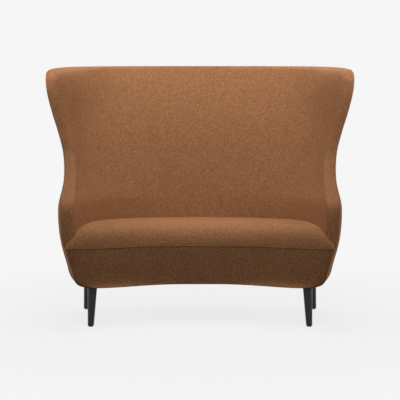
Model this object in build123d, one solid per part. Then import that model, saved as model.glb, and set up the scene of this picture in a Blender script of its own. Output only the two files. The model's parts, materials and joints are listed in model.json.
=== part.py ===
from build123d import *
import math
import os

# A two-seat wing sofa: a tight-covered shell that rises from the arms into a high winged back,
# a fixed crowned seat with a front that curves inwards, and four tapered round legs.
# X runs to the right as seen from the front, Y to the back and Z up, in millimetres.
# The origin is on the floor, under the middle of the whole.

# Overall sizes
height = 1310.0
half_width = 772.0
half_depth = 440.0
leg_height = 195.0
border_height = 193.0
seat_pad_rise = 109.0
rail_height = 112.0

# Clearances
gap = 0.3
overrun = 20.0
level_tolerance = 0.01
slope_step = 1.0
roll_foot_gap = 2.0
pad_side_gap = 0.9

# Layers of the shell, counted from the outside face inwards
cover_thickness = 1.6
wadding_thickness = 5.1
panel_thickness = 3.0
hoop_thickness = 11.6
post_thickness = 11.5
webbing_thickness = 2.0
edge_thickness = 58.0
edge_round = 28.0
welt_radius = 2.5
cover_drop = 2.0
edge_roll_foot = 3.3
edge_welt_foot = 5.0

# Seat front
front_sag = 160.0
border_lean = 18.0
border_padding_depth = 30.0

# Base frame
rail_thickness = 41.0
front_rail_thickness = 25.0
rail_end_distance = 40.0
leg_board_thickness = 18.0
board_outer_reach = 22.0
board_inner_reach = 50.0
board_end_reach = 18.0
cross_rail_width = 25.0
cross_rail_height = 60.0
block_height = 70.0
block_reach = 60.0
block_thickness = 24.0
hessian_thickness = 1.0
hessian_inset = 38.0
strap_width = 50.0
dust_cover_thickness = 1.0
dust_cover_inset = 14.0
leg_hole_clearance = 1.0

# Legs: how far their tops stand from the body's greatest half width and depth, and their splay
leg_top_radius = 24.0
leg_foot_radius = 15.0
glide_radius = 11.0
glide_thickness = 3.0
front_leg_side_inset = 242.0
front_leg_front_inset = 68.0
rear_leg_side_inset = 180.0
rear_leg_back_inset = 335.0
front_leg_splay = (7.0, -20.0)
rear_leg_splay = (17.0, 63.0)
bolt_radius = 4.0
bolt_depth_in_leg = 35.0
insert_radius = 7.0
insert_length = 16.0
screw_radius = 2.2
screw_length = 42.0
screw_head_radius = 4.5
screw_head_height = 3.0

# Upper frame
former_width = 60.0
hoop_height = 40.0
strap_edge_distance = 36.0
back_strap_height = 60.0

# Derived levels
body_bottom = leg_height - cover_drop
front_leg_top = (half_width - front_leg_side_inset, front_leg_front_inset - half_depth)
rear_leg_top = (half_width - rear_leg_side_inset, half_depth - rear_leg_back_inset)
front_leg_foot = (front_leg_top[0] + front_leg_splay[0], front_leg_top[1] + front_leg_splay[1])
rear_leg_foot = (rear_leg_top[0] + rear_leg_splay[0], rear_leg_top[1] + rear_leg_splay[1])
body_height = height - body_bottom
seam_height = body_bottom + border_height
rail_bottom = leg_height + leg_board_thickness
rail_top = rail_bottom + rail_height
long_strap_bottom = rail_top
cross_strap_bottom = long_strap_bottom + webbing_thickness + gap
hessian_bottom = cross_strap_bottom + webbing_thickness + gap
deck = hessian_bottom + hessian_thickness + gap
band_top = height - edge_round

# Derived depths of the layers below the outside face
wadding_face = cover_thickness + gap
panel_face = wadding_face + wadding_thickness + gap
frame_face = panel_face + panel_thickness + gap
post_face = frame_face + hoop_thickness + gap
webbing_face = post_face + post_thickness + gap
foam_face = webbing_face + webbing_thickness + gap
rail_inner_face = frame_face + rail_thickness
welt_outset = welt_radius + gap - wadding_face
welt_channel = 2 * (welt_radius + gap)
welt_proud = welt_outset + welt_radius

# Outside of the shell, level by level, as shares of the body's height, the half width and the
# half depth: level, edge x, edge y, side handle x, side handle run, corner handle x, back y.
outside_shares = [
    (0.000, 0.725, -0.845, 0.894, 0.72, 1.036, 0.659),
    (0.006, 0.745, -0.875, 0.907, 0.72, 1.036, 0.664),
    (0.017, 0.770, -0.909, 0.915, 0.72, 1.036, 0.668),
    (0.038, 0.796, -0.927, 0.934, 0.72, 1.030, 0.677),
    (0.073, 0.811, -0.936, 0.953, 0.70, 1.010, 0.693),
    (0.123, 0.834, -0.939, 0.979, 0.68, 0.985, 0.716),
    (0.173, 0.855, -0.941, 1.003, 0.66, 0.959, 0.739),
    (0.239, 0.869, -0.941, 1.025, 0.62, 0.926, 0.768),
    (0.302, 0.877, -0.934, 1.032, 0.60, 0.894, 0.791),
    (0.338, 0.879, -0.918, 1.031, 0.58, 0.874, 0.805),
    (0.363, 0.880, -0.873, 1.022, 0.57, 0.855, 0.814),
    (0.387, 0.881, -0.791, 1.009, 0.56, 0.835, 0.823),
    (0.418, 0.882, -0.648, 0.992, 0.55, 0.816, 0.832),
    (0.463, 0.885, -0.466, 0.969, 0.54, 0.797, 0.848),
    (0.525, 0.892, -0.295, 0.960, 0.53, 0.777, 0.870),
    (0.606, 0.909, -0.182, 0.964, 0.52, 0.764, 0.895),
    (0.687, 0.938, -0.193, 0.979, 0.52, 0.764, 0.920),
    (0.776, 0.970, -0.273, 1.003, 0.52, 0.777, 0.943),
    (0.857, 0.992, -0.368, 1.010, 0.52, 0.793, 0.964),
    (0.919, 1.000, -0.432, 1.012, 0.52, 0.799, 0.980),
    (0.951, 0.999, -0.441, 1.012, 0.52, 0.799, 0.987),
    (0.975, 0.985, -0.391, 1.001, 0.52, 0.790, 0.992),
]

# Inside of the shell: level, side handle x as a share of the inner edge x, side handle run,
# corner handle x as a share of the inner edge x, and the back as a share of the half depth.
inside_shares = [
    (0.120, 0.900, 0.60, 0.860, 0.341),
    (0.173, 0.900, 0.60, 0.860, 0.352),
    (0.272, 0.895, 0.60, 0.860, 0.382),
    (0.364, 0.930, 0.58, 0.840, 0.432),
    (0.463, 0.970, 0.55, 0.820, 0.505),
    (0.606, 1.000, 0.52, 0.800, 0.614),
    (0.776, 1.015, 0.50, 0.785, 0.723),
    (0.919, 1.010, 0.50, 0.780, 0.791),
    (0.975, 1.010, 0.50, 0.780, 0.816),
]

# The front's corners are wider than they are deep, and its inward curve is flat in the middle.
corner_width_share = 1.2
sag_flatness_share = 1.5
middle_lean_share = 0.17

# The crown of the seat pad's front: how far it is drawn in as it rises
slope_share = 1.2
crown_rise_shares = [0.00, 0.22, 0.45, 0.65, 0.79, 0.91, 0.97, 1.00]
crown_inset_shares = [0.00, 0.037, 0.11, 0.24, 0.41, 0.69, 1.05, 1.56]

# The upper planes lean: the wings' front corners are lower than the back.
top_lean_share = 0.048
lean_start_share = 0.54

# Places along the half plan, from the front edge at 0 to the middle of the back at 1
rail_joint_share = 0.55
rear_block_span_shares = (0.47, 0.63)
side_post_span_shares = (0.32, 0.36)
rear_post_span_shares = (0.55, 0.59)
centre_post_span_shares = (0.86, 0.89)
arm_hoop_share = 0.340
shoulder_hoop_share = 0.680
back_strap_level_shares = [0.30, 0.42, 0.54, 0.66, 0.78, 0.90]
cross_rail_place_share = 0.27
long_strap_place_shares = [-0.33, -0.16, 0.01, 0.18, 0.35]
cross_strap_place_shares = [-0.68, -0.49, -0.35, -0.18, -0.07, 0.07, 0.18, 0.35, 0.49, 0.68]
curve_points = 14
front_points = 10
edge_steps = 28
edge_face_steps = 8
seat_welt_steps = 120
cord_sides = 6


# Reading the tables
def between(places, values, at):
    """The value at one place, in a straight line between its two neighbours."""
    if at <= places[0]:
        return values[0]
    for low in range(len(places) - 1):
        if at <= places[low + 1]:
            run = (at - places[low]) / (places[low + 1] - places[low])
            return values[low] + (values[low + 1] - values[low]) * run
    return values[-1]


def column(table, number):
    """One column of a table."""
    return [row[number] for row in table]


def body_share(level):
    """How far up the body a level is, from 0 at its underside to 1 at its top."""
    return (level - body_bottom) / body_height


def body_level(share):
    """The level at a share of the body's height."""
    return body_bottom + share * body_height


def stations(bottom, top):
    """The levels of a piece's sections: its two ends and the table's levels between them."""
    middle = [body_level(row[0]) for row in outside_shares]
    inner = [level for level in middle if bottom + level_tolerance < level < top - level_tolerance]
    return [bottom] + inner + [top]


# The half plans, each a cubic curve from the front edge to the middle of the back
def outside_handles(level):
    """The four handles of the outside's half plan at a level."""
    share = body_share(level)
    levels = column(outside_shares, 0)
    row = [between(levels, column(outside_shares, number), share) for number in range(1, 7)]
    edge = (row[0] * half_width, row[1] * half_depth)
    back = row[5] * half_depth
    side = (row[2] * half_width, edge[1] + row[3] * (back - edge[1]))
    return [edge, side, (row[4] * half_width, back), (0, back)]


def inside_handles(level):
    """The four handles of the inside's half plan at a level."""
    share = body_share(level)
    levels = column(inside_shares, 0)
    row = [between(levels, column(inside_shares, number), share) for number in range(1, 5)]
    outside = outside_handles(level)
    edge = inset_point(outside, 0, edge_thickness)
    back = row[3] * half_depth
    side = (row[0] * edge[0], edge[1] + row[1] * (back - edge[1]))
    return [edge, side, (row[2] * edge[0], back), (0, back)]


def on_plan(handles, run):
    """A point of a half plan, from the front edge at 0 to the middle of the back at 1."""
    rest = 1 - run
    weights = [rest**3, 3 * rest**2 * run, 3 * rest * run**2, run**3]
    x = sum(weight * handle[0] for weight, handle in zip(weights, handles))
    y = sum(weight * handle[1] for weight, handle in zip(weights, handles))
    return x, y


def slope_of(handles, run):
    """The unit direction of a half plan, towards the back."""
    rest = 1 - run
    weights = [rest**2, 2 * rest * run, run**2]
    pairs = zip(handles, handles[1:])
    steps = [(after[0] - before[0], after[1] - before[1]) for before, after in pairs]
    x = sum(weight * step[0] for weight, step in zip(weights, steps))
    y = sum(weight * step[1] for weight, step in zip(weights, steps))
    length = math.hypot(x, y)
    return x / length, y / length


def inset_point(handles, run, inset):
    """A point of a half plan moved towards the sitter, or away from the sitter if negative."""
    x, y = on_plan(handles, run)
    along_x, along_y = slope_of(handles, run)
    return x - along_y * inset, y + along_x * inset


def run_at(handles, distance):
    """The place on a half plan that lies a short distance behind the front edge."""
    edge, side = handles[0], handles[1]
    return distance / (3 * math.hypot(side[0] - edge[0], side[1] - edge[1]))


def lean(level):
    """How steeply the plane of a level leans towards the front."""
    share = (body_share(level) - lean_start_share) / (1 - lean_start_share)
    return top_lean_share * max(0, min(1, share))


def raised(level, point):
    """A plan point put at its height on the plane of a level."""
    back = outside_handles(level)[3][1]
    return Vector(point[0], point[1], level - lean(level) * (back - point[1]))


# Closed sections and the solids between them
def solid_through(wires):
    """The solid with straight sides between closed sections."""
    return Solid.make_loft(wires, True)


def ring(first, second):
    """A closed wire of two curves, each through its points, joined by straight ends."""
    edges = [
        curve_through(first),
        Edge.make_line(first[-1], second[-1]),
        curve_through(list(reversed(second))),
        Edge.make_line(second[0], first[0]),
    ]
    return Wire(edges)


def curve_through(points):
    """A smooth curve through points, or a line where there are only two."""
    if len(points) == 2:
        return Edge.make_line(points[0], points[1])
    return Edge.make_spline(points)


def face_points(level, face, start, stop):
    """Points along one face of the shell; a face is a pair of its side and its depth."""
    side, depth = face
    handles = outside_handles(level) if side == "outside" else inside_handles(level)
    inset = depth if side == "outside" else -depth
    first = start(level, handles)
    last = 1 if stop is None else stop(level, handles)
    count = max(3, round((last - first) * curve_points))
    runs = [first + (last - first) * step / count for step in range(count + 1)]
    right = [raised(level, inset_point(handles, run, inset)) for run in runs]
    if stop is not None:
        return right
    left = [Vector(-point.X, point.Y, point.Z) for point in reversed(right[:-1])]
    return right + left


def behind_edge(distance):
    """A place given by its distance behind the front edge."""
    return lambda level, handles: run_at(handles, distance)


def edge_steepness(level):
    """The sine of the front edge's slope: 1 where it stands upright, less where it leans."""
    here = outside_handles(level)[0][1]
    near = [outside_handles(level + step)[0][1] for step in (-slope_step, slope_step)]
    run = max(abs(y - here) for y in near) / slope_step
    return 1 / math.hypot(1, run)


def behind_roll(level, distance):
    """A distance behind the front edge that clears the edge roll by a distance square to it."""
    return edge_round + distance / edge_steepness(level)


def at_share(share):
    """A place given as a share of the half plan."""
    return lambda level, handles: share


def behind_channel(level, handles):
    """The place behind the channel of the edge welt."""
    return run_at(handles, behind_roll(level, welt_channel))


def shell_layer(bottom, top, outer, inner, start, stop=None):
    """A layer of the shell between two faces, round the whole back or on the right side only."""
    sections = []
    for level in stations(bottom, top):
        outer_points = face_points(level, outer, start, stop)
        inner_points = face_points(level, inner, start, stop)
        sections.append(ring(outer_points, inner_points))
    return solid_through(sections)


def left_of(piece):
    """The mirror image of a piece on the left side."""
    return piece.mirror(Plane.YZ)


def plan_x_at(level, y, inset):
    """The half width at a depth, measured on the outside plan behind its widest place."""
    handles = outside_handles(level)
    points = [inset_point(handles, step / 100, inset) for step in range(101)]
    return max(x for x, depth in points if depth >= y)


def plan_y_at(level, x, inset):
    """The depth of the back at a distance from the middle."""
    handles = outside_handles(level)
    points = [inset_point(handles, step / 100, inset) for step in range(101)]
    return max(depth for place, depth in points if place >= x)


# The seat's front
def front_middle(level):
    """The front's depth at the middle of the seat."""
    lean_back = middle_lean_share * border_lean * (1 - border_rise(level))
    return front_corner(seam_height) + front_sag + lean_back


def border_rise(level):
    """How far up the border a level is."""
    return max(0, min(1, (level - body_bottom) / border_height))


def front_corner(level):
    """The front's depth at its corners, which hang back a little towards the floor."""
    return welt_proud - half_depth + border_lean * (1 - border_rise(level))


def front_y(level, x, half):
    """The front's depth at a distance from the middle, for a front of a given half width."""
    place = min(1, abs(x) / half)
    sag = (1 - math.cos(math.pi * place**sag_flatness_share)) / 2
    return front_middle(level) + (front_corner(level) - front_middle(level)) * sag


def front_half(level):
    """Half the width of the curved front, up to its rounded corners."""
    edge_x, edge_y = outside_handles(level)[0]
    return edge_x - corner_width_share * (edge_y - front_corner(level))


def front_line(level, half, setback):
    """Points along the front, from right to left, set back towards the sitter's knees."""
    right = []
    for step in range(front_points, -1, -1):
        x = half * step / front_points
        right.append((x, front_y(level, x, front_half(level)) + setback))
    return right + [(-x, y) for x, y in reversed(right[:-1])]


def border_line(level, side_distance, inset):
    """The border's face in plan: round the right corner, along the front and round the left one."""
    handles = outside_handles(level)
    edge_y = handles[0][1]
    side_runs = [run_at(handles, side_distance * share) for share in (1, 0.5, 0)]
    right = [on_plan(handles, run) for run in side_runs]
    right += corner_points(handles[0], edge_y - front_corner(level))
    front = front_line(level, front_half(level), 0)
    whole = right + front + [(-x, y) for x, y in reversed(right)]
    return inset_line(whole, inset)


def corner_points(start, reach):
    """Points round the right corner of the front, between its ends."""
    width = corner_width_share * reach
    points = []
    for turn in (math.pi / 8, math.pi / 4, 3 * math.pi / 8):
        points.append((start[0] - width * (1 - math.cos(turn)), start[1] - reach * math.sin(turn)))
    return points


def inset_line(points, inset):
    """A line of points, running from right to left along the front, moved inwards."""
    moved = []
    for number, point in enumerate(points):
        before = points[max(number - 1, 0)]
        after = points[min(number + 1, len(points) - 1)]
        x, y = after[0] - before[0], after[1] - before[1]
        length = math.hypot(x, y)
        moved.append((point[0] + y / length * inset, point[1] - x / length * inset))
    return moved


def flat(level, points):
    """Plan points at one height."""
    return [Vector(x, y, level) for x, y in points]


def rail_half(level):
    """Half the length of the front rail, which laps over the ends of the side rails."""
    return front_half(level) - gap


# Pieces of the base
def make_leg(top, foot):
    """A straight round leg, tapered and splayed, bored for its bolt."""
    top_plane = Plane(origin=(top[0], top[1], leg_height))
    foot_plane = Plane(origin=(foot[0], foot[1], glide_thickness))
    foot_circle = Wire.make_circle(leg_foot_radius, foot_plane)
    top_circle = Wire.make_circle(leg_top_radius, top_plane)
    bore = bolt_space(top, bolt_radius + gap, bolt_depth_in_leg + gap, overrun)
    return solid_through([foot_circle, top_circle]) - bore


def bolt_space(place, radius, below, above):
    """An upright cylinder that reaches below and above the underside of the leg boards."""
    bottom = Plane(origin=(place[0], place[1], leg_height - below))
    return Solid.make_cylinder(radius, below + above, bottom)


def make_leg_board():
    """The plywood board on the right that carries the front and the rear leg."""
    run_x = rear_leg_top[0] - front_leg_top[0]
    run_y = rear_leg_top[1] - front_leg_top[1]
    length = math.hypot(run_x, run_y)
    along = Vector(run_x / length, run_y / length)
    out = Vector(along.Y, -along.X)
    front = Vector(front_leg_top[0], front_leg_top[1]) - along * board_end_reach
    rear = Vector(rear_leg_top[0], rear_leg_top[1]) + along * board_end_reach
    corners = [
        front + out * board_outer_reach,
        rear + out * board_outer_reach,
        rear - out * board_inner_reach,
        front - out * board_inner_reach,
    ]
    raised_corners = [Vector(corner.X, corner.Y, leg_height) for corner in corners]
    outline = Face(Wire.make_polygon(raised_corners))
    board = Solid.extrude(outline, Vector(0, 0, leg_board_thickness))
    for place in (front_leg_top, rear_leg_top):
        board = board - bolt_space(place, insert_radius + gap, overrun, leg_board_thickness + overrun)
    x, y = board_screw_place()
    bottom = Plane(origin=(x, y, leg_height - overrun))
    board = board - Solid.make_cylinder(screw_radius + gap, leg_board_thickness + 2 * overrun, bottom)
    head_depth = screw_head_height + gap + overrun
    return board - Solid.make_cylinder(screw_head_radius + gap, head_depth, bottom)


def board_screw_place():
    """Where a screw goes up through the right board into the front rail."""
    x = front_leg_top[0] - board_inner_reach / 2
    middle = border_padding_depth + gap + front_rail_thickness / 2
    return x, front_y(rail_bottom, x, front_half(rail_bottom)) + middle


def make_screw():
    """The wood screw of the right board: a head disc and a plain shank."""
    x, y = board_screw_place()
    head = Solid.make_cylinder(screw_head_radius, screw_head_height, Plane(origin=(x, y, leg_height)))
    shank = Solid.make_cylinder(screw_radius, screw_length, Plane(origin=(x, y, leg_height)))
    return head + shank


def make_front_rail():
    """The front rail, bent to the seat's inward curve."""
    sections = []
    for level in stations(rail_bottom, rail_top):
        front = front_line(level, rail_half(level), border_padding_depth + gap)
        back = front_line(level, rail_half(level), border_padding_depth + gap + front_rail_thickness)
        sections.append(ring(flat(level, front), flat(level, back)))
    rail = solid_through(sections)
    x, y = board_screw_place()
    for place in (x, -x):
        hole = Plane(origin=(place, y, leg_height))
        rail = rail - Solid.make_cylinder(screw_radius + gap, screw_length + gap, hole)
    return rail


def make_front_block():
    """A glue block in the corner between the front rail and the right side rail."""
    sections = []
    for level in stations(rail_top - block_height, rail_top):
        handles = outside_handles(level)
        inner = inset_point(handles, run_at(handles, rail_end_distance), rail_inner_face + gap)
        end = inner[0] - gap
        back = border_padding_depth + front_rail_thickness + 2 * gap
        places = [end - block_reach, end - block_reach / 2, end]
        front = [(x, front_y(level, x, front_half(level)) + back) for x in places]
        tail = (end, inner[1] + block_reach)
        edges = [
            curve_through(flat(level, front)),
            Edge.make_line(Vector(*front[-1], level), Vector(*tail, level)),
            Edge.make_line(Vector(*tail, level), Vector(*front[0], level)),
        ]
        sections.append(Wire(edges))
    return solid_through(sections)


def make_cross_rail():
    """The right one of the two rails that run from the front rail to the rear rail."""
    x = cross_rail_place_share * half_width
    bottom = rail_top - cross_rail_height
    back = border_padding_depth + front_rail_thickness + 3 * gap
    sides = (x - cross_rail_width / 2, x + cross_rail_width / 2)
    levels = (bottom, rail_top)
    start = max(front_y(level, side, front_half(level)) + back for side in sides for level in levels)
    stop = min(plan_y_at(level, sides[1], rail_inner_face + gap) for level in levels)
    return block_between(sides, (start, stop), levels)


def block_between(xs, ys, zs):
    """A block between pairs of places along X, Y and Z."""
    corner = Plane(origin=(xs[0], ys[0], zs[0]))
    return Solid.make_box(xs[1] - xs[0], ys[1] - ys[0], zs[1] - zs[0], corner)


def make_dust_cover():
    """The thin cloth under the body, cut out round the legs."""
    level = leg_height - gap - dust_cover_thickness
    handles_start = behind_edge(rail_end_distance)
    back = face_points(body_bottom, ("outside", dust_cover_inset), handles_start, None)
    front = front_line(body_bottom, front_half(body_bottom) - dust_cover_inset, dust_cover_inset)
    at_level = [Vector(point.X, point.Y, level) for point in back]
    outline = ring(at_level, flat(level, front))
    cloth = Solid.extrude(Face(outline), Vector(0, 0, dust_cover_thickness))
    for top in (front_leg_top, rear_leg_top):
        for side in (1, -1):
            hole = Plane(origin=(side * top[0], top[1], level - overrun))
            cloth = cloth - Solid.make_cylinder(leg_top_radius + leg_hole_clearance, 2 * overrun, hole)
    return cloth


# Pieces of the seat
def make_long_straps():
    """The webbing straps from side rail to side rail."""
    straps = []
    zs = (long_strap_bottom, long_strap_bottom + webbing_thickness)
    for share in long_strap_place_shares:
        middle = share * half_depth
        ys = (middle - strap_width / 2, middle + strap_width / 2)
        half = min(plan_x_at(rail_top, place, hessian_inset) for place in ys)
        straps.append(block_between((-half, half), ys, zs))
    return straps


def make_cross_straps():
    """The webbing straps from the front rail to the rear rail, laid over the long ones."""
    straps = []
    for share in cross_strap_place_shares:
        x = share * half_width
        outer = abs(x) + strap_width / 2
        inner = abs(x) - strap_width / 2
        setback = border_padding_depth + front_rail_thickness / 2
        front = front_y(rail_top, inner, front_half(rail_top)) + setback
        back = plan_y_at(rail_top, outer, hessian_inset)
        xs = (x - strap_width / 2, x + strap_width / 2)
        zs = (cross_strap_bottom, cross_strap_bottom + webbing_thickness)
        straps.append(block_between(xs, (front, back), zs))
    return straps


def make_hessian():
    """The cloth over the straps that carries the foam."""
    start = behind_edge(rail_end_distance + former_width)
    back = face_points(rail_top, ("outside", hessian_inset), start, None)
    front = front_line(rail_top, front_half(rail_top) - hessian_inset, border_padding_depth + 2 * gap)
    at_level = [Vector(point.X, point.Y, hessian_bottom) for point in back]
    outline = ring(at_level, flat(hessian_bottom, front))
    return Solid.extrude(Face(outline), Vector(0, 0, hessian_thickness))


def make_base_foam():
    """The firm slab under the seat pad, between the inside cover and the border."""
    sections = []
    for level in stations(deck, seam_height - gap):
        back = face_points(level, ("inside", -gap), behind_edge(edge_round), None)
        half = back[0].X
        front = front_line(level, half, border_padding_depth + 2 * gap)
        sections.append(ring(back, flat(level, front)))
    return solid_through(sections)


def pad_section(level, inset):
    """A closed section of the uncut seat pad, drawn in more the higher it is."""
    rise = min(1, (level + inset - seam_height) / seat_pad_rise)
    drawn_in = between(crown_rise_shares, crown_inset_shares, rise) * seat_pad_rise + inset
    edge_x = outside_handles(seam_height)[0][0] - drawn_in
    half = front_half(seam_height) - drawn_in
    front = front_line(seam_height, half, slope_share * drawn_in)
    reach = (edge_x - half) / corner_width_share
    edge_y = front[0][1] + reach
    corner = [(edge_x, edge_y)] + corner_points((edge_x, edge_y), reach)
    points = flat(level, corner + front + [(-x, y) for x, y in reversed(corner)])
    back = half_depth / 2
    rear_right = Vector(edge_x, back, level)
    rear_left = Vector(-edge_x, back, level)
    edges = [
        curve_through(points),
        Edge.make_line(points[-1], rear_left),
        Edge.make_line(rear_left, rear_right),
        Edge.make_line(rear_right, points[0]),
    ]
    return Wire(edges)


def shell_space(inset):
    """The space behind the arm fronts that the shell fills, as seen by the seat pad."""
    bottom = seam_height - overrun
    top = seam_height + seat_pad_rise + overrun
    front = outside_handles(seam_height)[0][1] - 2 * gap - inset
    solid = block_between((-half_width, half_width), (front, half_depth), (bottom, top))
    sections = []
    for level in stations(bottom - overrun, top + overrun):
        back = face_points(level, ("inside", -pad_side_gap - inset), behind_edge(edge_round), None)
        ends = [Vector(point.X, -half_depth, point.Z) for point in (back[0], back[-1])]
        edges = [
            curve_through(back),
            Edge.make_line(back[-1], ends[1]),
            Edge.make_line(ends[1], ends[0]),
            Edge.make_line(ends[0], back[0]),
        ]
        sections.append(Wire(edges))
    return solid - solid_through(sections)


def make_pad(inset, bottom):
    """The seat pad, smaller all round by an inset, from a level up to its crown."""
    top = seam_height + seat_pad_rise - inset
    levels = [seam_height - inset + share * seat_pad_rise for share in crown_rise_shares]
    inner = [level for level in levels if bottom + level_tolerance < level < top - level_tolerance]
    sections = [pad_section(level, inset) for level in [bottom] + inner + [top]]
    return solid_through(sections) - shell_space(inset)


def make_seat_cover():
    """The cover over the seat pad, from the welt to the crown and down inside the arms."""
    bottom = seam_height + welt_channel / 2 + gap
    return make_pad(0, bottom) - make_pad(cover_thickness, bottom - overrun)


def make_seat_welt():
    """The piping between the seat cover and the border."""
    path = Edge.make_spline(flat(seam_height, border_line(seam_height, welt_radius, -welt_outset)))
    return cord_through([path @ (step / seat_welt_steps) for step in range(seat_welt_steps + 1)])


def cord_through(points):
    """A round cord through points, its sections square to the run."""
    wires = []
    across = Vector(1, 0, 0)
    for number, point in enumerate(points):
        before = points[max(number - 1, 0)]
        after = points[min(number + 1, len(points) - 1)]
        along = (after - before).normalized()
        across = (across - along * across.dot(along)).normalized()
        wires.append(round_section(point, across, along.cross(across), welt_radius))
    return solid_through(wires)


def round_section(middle, across, up, radius):
    """A cord's section, a regular polygon inside its circle."""
    corners = []
    for number in range(cord_sides):
        turn = 2 * math.pi * number / cord_sides
        corners.append(middle + across * (radius * math.cos(turn)) + up * (radius * math.sin(turn)))
    return Wire.make_polygon(corners)


def make_border_padding():
    """The padding in front of the front rail and round the corners of the seat."""
    sections = []
    for level in stations(rail_bottom, seam_height - gap):
        outer = border_line(level, edge_round - gap, wadding_face + gap)
        half = rail_half(level) + gap
        inner = front_line(level, half, border_padding_depth)
        heel = (half, outer[0][1])
        points = flat(level, outer)
        inner_points = flat(level, inner)
        right = Vector(heel[0], heel[1], level)
        left = Vector(-heel[0], heel[1], level)
        edges = [
            curve_through(points),
            Edge.make_line(points[-1], left),
            Edge.make_line(left, inner_points[-1]),
            curve_through(list(reversed(inner_points))),
            Edge.make_line(inner_points[0], right),
            Edge.make_line(right, points[0]),
        ]
        sections.append(Wire(edges))
    return solid_through(sections)


def make_border_cover():
    """The cover over the border, from the underside to the welt."""
    sections = []
    for level in stations(body_bottom, seam_height - welt_channel / 2 - gap):
        side_distance = behind_roll(level, welt_channel) - gap
        outer = flat(level, border_line(level, side_distance, 0))
        inner = flat(level, border_line(level, side_distance, cover_thickness))
        sections.append(ring(outer, inner))
    return solid_through(sections)


# Pieces of the shell's edge
def edge_path():
    """Pairs of outer and inner points where the edge roll starts, from right foot to left foot."""
    pairs = []
    for level in stations(seam_height + edge_roll_foot, band_top):
        outside, inside = outside_handles(level), inside_handles(level)
        outer = on_plan(outside, run_at(outside, edge_round))
        inner = on_plan(inside, run_at(inside, edge_round))
        pairs.append((raised(level, outer), raised(level, inner)))
    outside, inside = outside_handles(band_top), inside_handles(band_top)
    first_outer, first_inner = run_at(outside, edge_round), run_at(inside, edge_round)
    for step in range(1, edge_steps + 1):
        share = step / edge_steps
        outer = on_plan(outside, first_outer + (1 - first_outer) * share)
        inner = on_plan(inside, first_inner + (1 - first_inner) * share)
        pairs.append((raised(band_top, outer), raised(band_top, inner)))
    left = []
    for outer, inner in reversed(pairs[:-1]):
        left.append((Vector(-outer.X, outer.Y, outer.Z), Vector(-inner.X, inner.Y, inner.Z)))
    return pairs + left


def edge_frames():
    """For each pair of the path: the middle, half the thickness, the way across and the way out."""
    pairs = edge_path()
    middles = [(outer + inner) * 0.5 for outer, inner in pairs]
    frames = []
    for number, (outer, inner) in enumerate(pairs):
        before = middles[max(number - 1, 0)]
        after = middles[min(number + 1, len(middles) - 1)]
        along = (after - before).normalized()
        across = (outer - inner).normalized()
        out = across.cross(along).normalized()
        frames.append((middles[number], (outer - inner).length / 2, across, out))
    return frames


def half_round(frame, inset):
    """Points of the edge's rounded face on one frame, from its outer to its inner side."""
    middle, half, across, out = frame
    start = middle + out * gap
    face = []
    for step in range(edge_face_steps + 1):
        turn = math.pi * step / edge_face_steps
        wide = (half - inset) * math.cos(turn)
        proud = (edge_round - gap - inset) * math.sin(turn)
        face.append(start + across * wide + out * proud)
    return face


def make_edge_roll():
    """The foam roll that rounds the arm fronts, the wings and the top."""
    wires = []
    for frame in edge_frames():
        face = half_round(frame, wadding_face)
        wires.append(Wire([Edge.make_spline(face), Edge.make_line(face[-1], face[0])]))
    return solid_through(wires)


def make_edge_facing():
    """The strip of cover that turns over the edge roll."""
    wires = []
    for frame in edge_frames():
        wires.append(ring(half_round(frame, 0), half_round(frame, cover_thickness)))
    return solid_through(wires)


def make_edge_welt():
    """The piping between the edge facing and the outside cover."""
    right = []
    outset = welt_outset + gap
    for level in stations(seam_height + edge_welt_foot, band_top - welt_channel / 2):
        handles = outside_handles(level)
        start = run_at(handles, behind_roll(level, welt_channel / 2))
        point = inset_point(handles, start, -outset)
        right.append(raised(level, point))
    level = band_top - welt_channel / 2
    handles = outside_handles(level)
    first = run_at(handles, behind_roll(level, welt_channel / 2))
    for step in range(1, edge_steps + 1):
        run = first + (1 - first) * step / edge_steps
        right.append(raised(level, inset_point(handles, run, -outset)))
    left = [Vector(-point.X, point.Y, point.Z) for point in reversed(right[:-1])]
    return cord_through(right + left)


# Pieces of the upper frame
def make_hoop(share):
    """A bent hoop that runs round the back between the two edge formers."""
    middle = body_level(share)
    bottom, top = middle - hoop_height / 2, middle + hoop_height / 2
    start = behind_edge(edge_round + former_width + gap)
    outer, inner = ("outside", frame_face), ("outside", frame_face + hoop_thickness)
    return shell_layer(bottom, top, outer, inner, start)


def make_post(span):
    """An upright post inside the hoops, on the right side."""
    top = band_top - hoop_height / 2
    outer = ("outside", post_face)
    inner = ("outside", post_face + post_thickness)
    return shell_layer(rail_top, top, outer, inner, at_share(span[0]), at_share(span[1]))


def make_former():
    """The shaped former along the right arm front and wing."""
    outer = ("outside", frame_face)
    inner = ("outside", post_face + post_thickness)
    start = behind_edge(edge_round + roll_foot_gap)
    stop = behind_edge(edge_round + former_width)
    return shell_layer(rail_top, band_top, outer, inner, start, stop)


def make_back_straps():
    """The webbing straps round the inside of the posts."""
    straps = []
    for share in back_strap_level_shares:
        middle = body_level(share)
        bottom, top = middle - back_strap_height / 2, middle + back_strap_height / 2
        outer = ("outside", webbing_face)
        inner = ("outside", webbing_face + webbing_thickness)
        straps.append(shell_layer(bottom, top, outer, inner, behind_edge(strap_edge_distance)))
    return straps


def make_side_rail():
    """The right side rail, from the front rail to the joint in the rear corner."""
    outer, inner = ("outside", frame_face), ("outside", rail_inner_face)
    start, stop = behind_edge(rail_end_distance), at_share(rail_joint_share)
    return shell_layer(rail_bottom, rail_top, outer, inner, start, stop)


def make_rear_rail():
    """The rear rail, bent round to both side rails."""
    outer, inner = ("outside", frame_face), ("outside", rail_inner_face)
    half_gap = gap / half_width
    return shell_layer(rail_bottom, rail_top, outer, inner, at_share(rail_joint_share + half_gap))


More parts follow.
